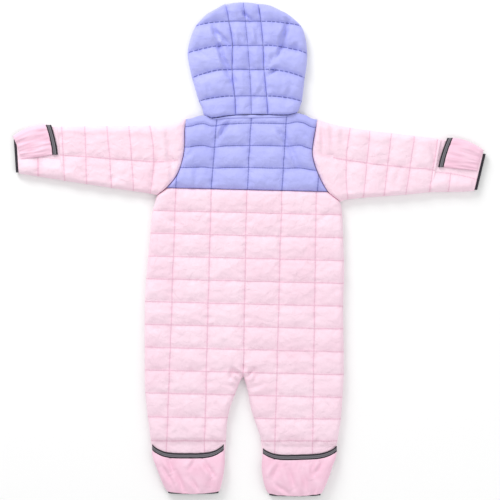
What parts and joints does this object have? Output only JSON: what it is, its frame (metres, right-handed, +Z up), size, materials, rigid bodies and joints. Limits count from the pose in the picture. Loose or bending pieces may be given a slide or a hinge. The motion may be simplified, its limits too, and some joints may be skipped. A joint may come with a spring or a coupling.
{
  "type": "baby snowsuit",
  "caption": "Hooded quilted one-piece snowsuit for a baby, laid flat on its front, with a front zip and fold-over hand and foot covers with elastic mouths.",
  "frame": {"origin": "under the middle of the garment's whole box, on the surface that it lies on", "axes": "+Z up from the surface, out of the garment's back; +Y from the feet towards the hood; +X towards the wearer's right hand, because the garment lies on its front"},
  "size_m": [0.755, 0.7882, 0.017],
  "materials": {
    "pink_shell": "matt woven polyester shell over wadding, quilted",
    "blue_shell": "matt woven polyester shell over wadding, quilted",
    "pink_cover": "thin woven polyester, gathered",
    "black_elastic": "ribbed woven elastic with a grey stripe",
    "zip_tape": "woven polyester zip tape",
    "zip_teeth": "moulded nylon coil",
    "zip_metal": "painted die-cast zinc"
  },
  "bodies": {
    "garment": {"back_body": "pink_shell", "front_left": "pink_shell", "front_right": "pink_shell", "sleeve_left": "pink_shell", "sleeve_right": "pink_shell", "yoke_back": "blue_shell", "neck_strip": "blue_shell", "hood_centre": "blue_shell", "hood_left": "blue_shell", "hood_right": "blue_shell", "foot_cover_left": "pink_cover", "foot_cover_right": "pink_cover", "hand_cover_left": "pink_cover", "hand_cover_right": "pink_cover", "foot_band_left": "black_elastic", "foot_band_right": "black_elastic", "hand_band_left": "black_elastic", "hand_band_right": "black_elastic", "cuff_binding_left": "black_elastic", "cuff_binding_right": "black_elastic", "hem_binding_left": "black_elastic", "hem_binding_right": "black_elastic", "zip_chain": "zip_teeth", "zip_tape_left": "zip_tape", "zip_tape_right": "zip_tape", "zip_slider": "zip_metal"},
    "zip_pull": {"zip_pull": "zip_metal"}
  },
  "joints": [
    {"name": "zip_pull", "type": "hinge", "parent": "garment", "child": "zip_pull", "pos_m": [-0.0023, 0.19669, 0.00365], "axis": [1, 0, 0], "range_deg": [0, 170]}
  ]
}
